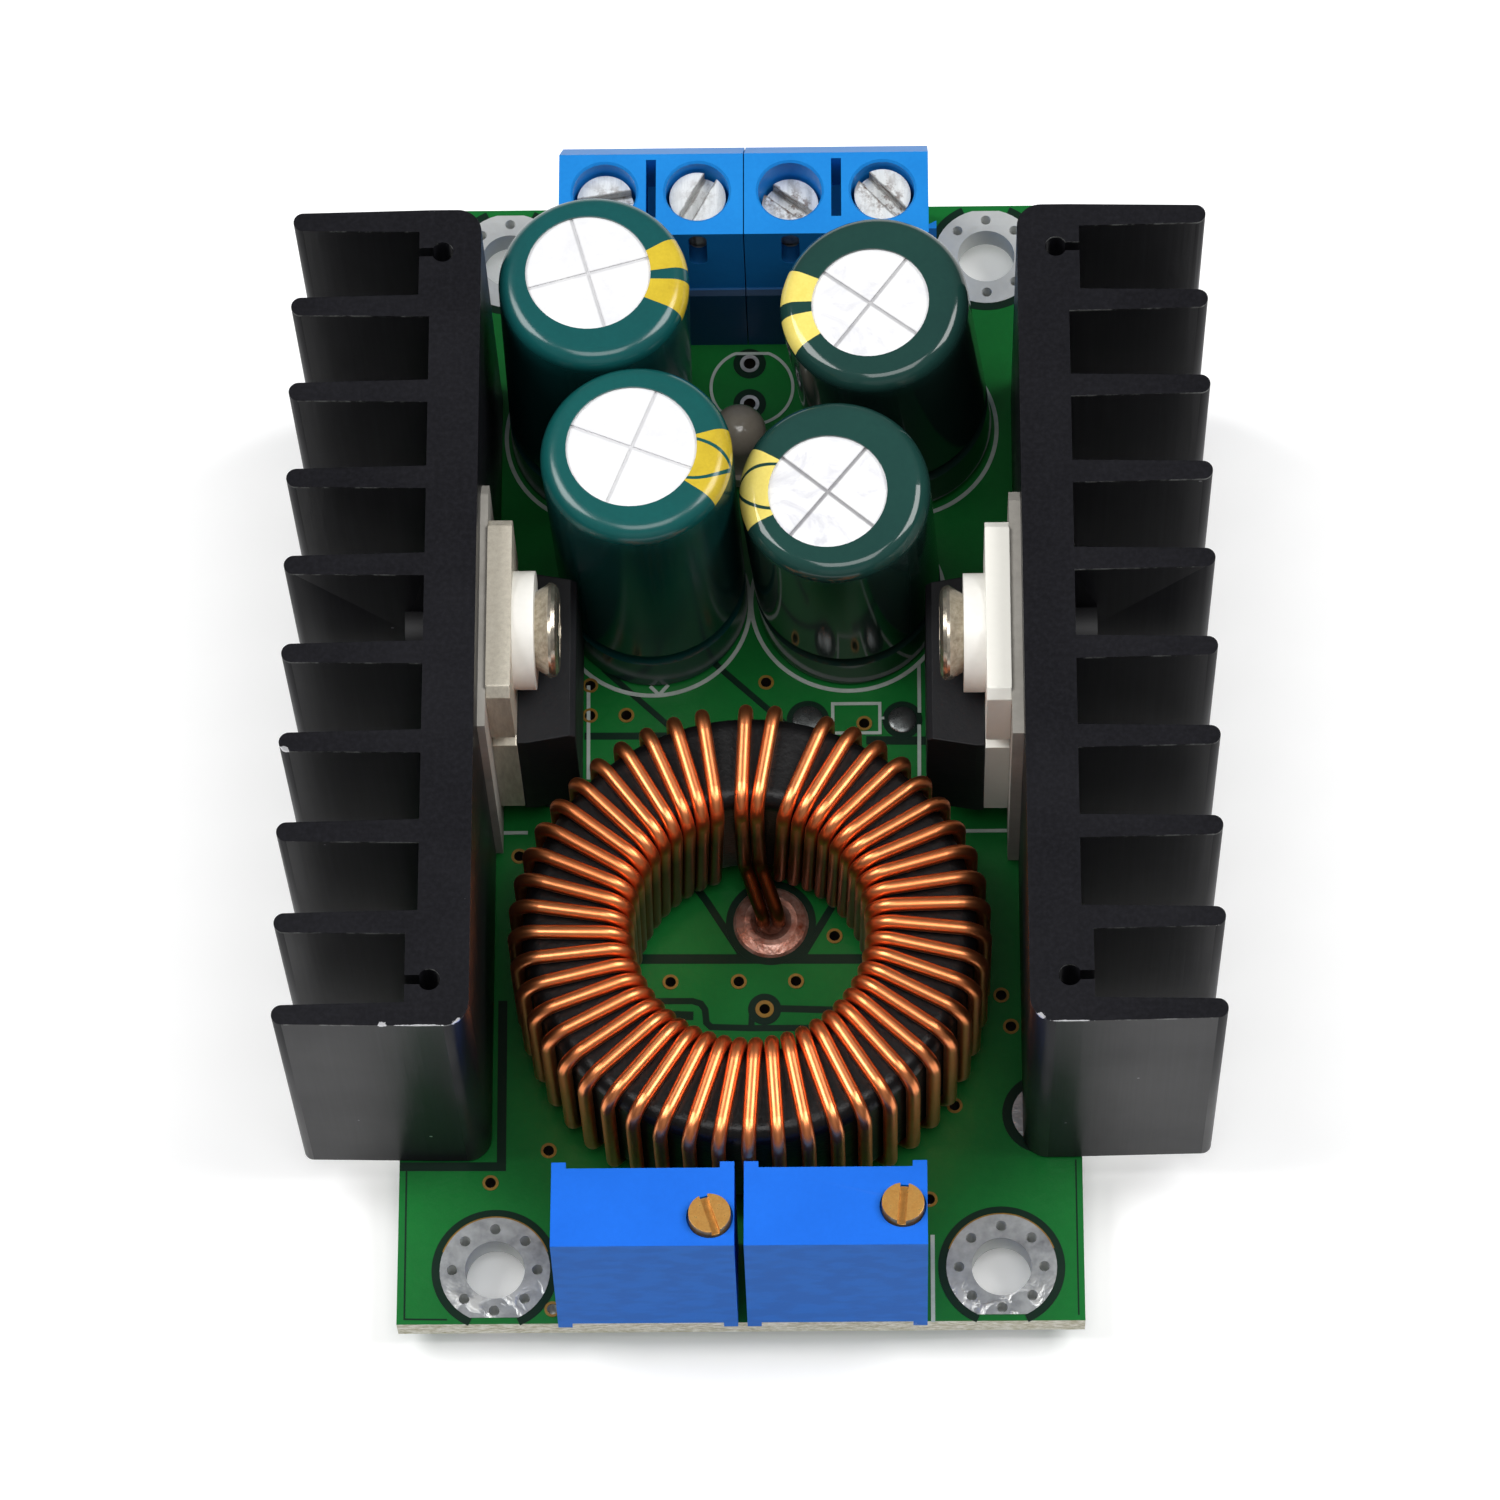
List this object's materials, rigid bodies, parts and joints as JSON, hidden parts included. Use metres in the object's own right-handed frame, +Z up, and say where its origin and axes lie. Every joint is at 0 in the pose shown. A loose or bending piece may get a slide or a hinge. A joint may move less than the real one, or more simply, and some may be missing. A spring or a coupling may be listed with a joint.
{
  "type": "buck converter module",
  "caption": "Step-down converter board with finned heatsinks along both sides, toroidal choke, capacitors, screw terminals and multi-turn trimmers.",
  "frame": {"origin": "middle of the module's footprint, on the surface that its trimmed leads stand on", "axes": "+X across the board to the right-hand heatsink, +Y along the board from the trimmers to the screw terminals, +Z up from the board's upper face"},
  "size_m": [0.0486, 0.0666, 0.0247],
  "materials": {
    "board_green": "satin solder mask over fibreglass",
    "tinned": "tinned copper",
    "black_anodised": "black anodised extrusion",
    "steel_pin": "tinned steel",
    "silicone": "grey silicone sheet",
    "moulding_black": "black moulding compound",
    "white_plastic": "white insulating plastic",
    "screw_steel": "plated steel",
    "core_black": "black coated powder core",
    "copper": "enamelled copper wire",
    "can_aluminium": "bare aluminium",
    "sleeve_teal": "shrunk sleeve with gold blocks",
    "sleeve_grey": "shrunk sleeve with gold blocks",
    "bung_rubber": "black rubber",
    "lens_grey": "clear grey resin",
    "terminal_blue": "blue moulded plastic",
    "zinc": "zinc plated steel",
    "trimmer_blue": "blue moulded plastic",
    "brass": "bare brass",
    "solder": "solder",
    "chip_tan": "ceramic chip",
    "chip_black": "coated chip"
  },
  "bodies": {
    "module": {"circuit_board": "board_green", "mounting_pads": "tinned", "heatsink_left": "black_anodised", "heatsink_right": "black_anodised", "heatsink_pins": "steel_pin", "thermal_pad_left": "silicone", "thermal_pad_right": "silicone", "regulator_tab": "tinned", "regulator_body": "moulding_black", "regulator_leads": "tinned", "rectifier_tab": "tinned", "rectifier_body": "moulding_black", "rectifier_leads": "tinned", "insulating_bush_left": "white_plastic", "insulating_bush_right": "white_plastic", "tab_screw_left": "screw_steel", "tab_screw_right": "screw_steel", "choke_core": "core_black", "choke_wire_a": "copper", "choke_wire_b": "copper", "capacitor_can_1": "can_aluminium", "capacitor_can_2": "can_aluminium", "capacitor_can_3": "can_aluminium", "capacitor_can_4": "can_aluminium", "capacitor_sleeve_1": "sleeve_teal", "capacitor_sleeve_2": "sleeve_teal", "capacitor_sleeve_3": "sleeve_grey", "capacitor_sleeve_4": "sleeve_grey", "capacitor_bung_1": "bung_rubber", "capacitor_bung_2": "bung_rubber", "capacitor_bung_3": "bung_rubber", "capacitor_bung_4": "bung_rubber", "capacitor_leads": "tinned", "lamp_lens": "lens_grey", "lamp_leads": "tinned", "terminal_housing_left": "terminal_blue", "terminal_housing_right": "terminal_blue", "clamp_frames": "tinned", "trimmer_case_left": "trimmer_blue", "trimmer_case_right": "trimmer_blue", "trimmer_pins": "tinned", "solder_joints": "solder", "control_chip": "moulding_black", "control_chip_leads": "tinned", "bias_regulator": "moulding_black", "current_shunt": "chip_black", "chip_resistors": "chip_black", "chip_capacitors": "chip_tan"},
    "clamp_1": {"clamp_plate_1": "brass"},
    "screw_1": {"terminal_screw_1": "zinc"},
    "clamp_2": {"clamp_plate_2": "brass"},
    "screw_2": {"terminal_screw_2": "zinc"},
    "clamp_3": {"clamp_plate_3": "brass"},
    "screw_3": {"terminal_screw_3": "zinc"},
    "clamp_4": {"clamp_plate_4": "brass"},
    "screw_4": {"terminal_screw_4": "zinc"},
    "adjuster_left": {"adjusting_screw_left": "brass"},
    "adjuster_right": {"adjusting_screw_right": "brass"}
  },
  "joints": [
    {"name": "clamp_1_slide", "type": "slide", "parent": "module", "child": "clamp_1", "axis": [0, 0, 1], "range_m": [-0.00115, 0.0011]},
    {"name": "terminal_screw_1_turn", "type": "hinge", "parent": "clamp_1", "child": "screw_1", "pos_m": [-0.0081, 0.02795, 0.0113], "axis": [0, 0, 1], "range_deg": [-829, 794]},
    {"name": "clamp_2_slide", "type": "slide", "parent": "module", "child": "clamp_2", "axis": [0, 0, 1], "range_m": [-0.00145, 0.0008]},
    {"name": "terminal_screw_2_turn", "type": "hinge", "parent": "clamp_2", "child": "screw_2", "pos_m": [-0.00302, 0.02795, 0.0116], "axis": [0, 0, 1], "range_deg": [-1045, 577]},
    {"name": "clamp_3_slide", "type": "slide", "parent": "module", "child": "clamp_3", "axis": [0, 0, 1], "range_m": [-0.00055, 0.0017]},
    {"name": "terminal_screw_3_turn", "type": "hinge", "parent": "clamp_3", "child": "screw_3", "pos_m": [0.00206, 0.02795, 0.0107], "axis": [0, 0, 1], "range_deg": [-398, 1225]},
    {"name": "clamp_4_slide", "type": "slide", "parent": "module", "child": "clamp_4", "axis": [0, 0, 1], "range_m": [-0.00165, 0.0006]},
    {"name": "terminal_screw_4_turn", "type": "hinge", "parent": "clamp_4", "child": "screw_4", "pos_m": [0.00714, 0.02795, 0.0118], "axis": [0, 0, 1], "range_deg": [-1189, 433]},
    {"name": "adjuster_left_turn", "type": "hinge", "parent": "module", "child": "adjuster_left", "pos_m": [-0.00228, -0.03044, 0.01374], "axis": [0, 0.1219, 0.9925], "continuous": true},
    {"name": "adjuster_right_turn", "type": "hinge", "parent": "module", "child": "adjuster_right", "pos_m": [0.00775, -0.02989, 0.01368], "axis": [0, 0.1219, 0.9925], "continuous": true}
  ],
  "couplings": [
    {"joint": "terminal_screw_1_turn", "follows": "clamp_1_slide", "rad_per_m": 12566},
    {"joint": "terminal_screw_2_turn", "follows": "clamp_2_slide", "rad_per_m": 12566},
    {"joint": "terminal_screw_3_turn", "follows": "clamp_3_slide", "rad_per_m": 12566},
    {"joint": "terminal_screw_4_turn", "follows": "clamp_4_slide", "rad_per_m": 12566}
  ]
}
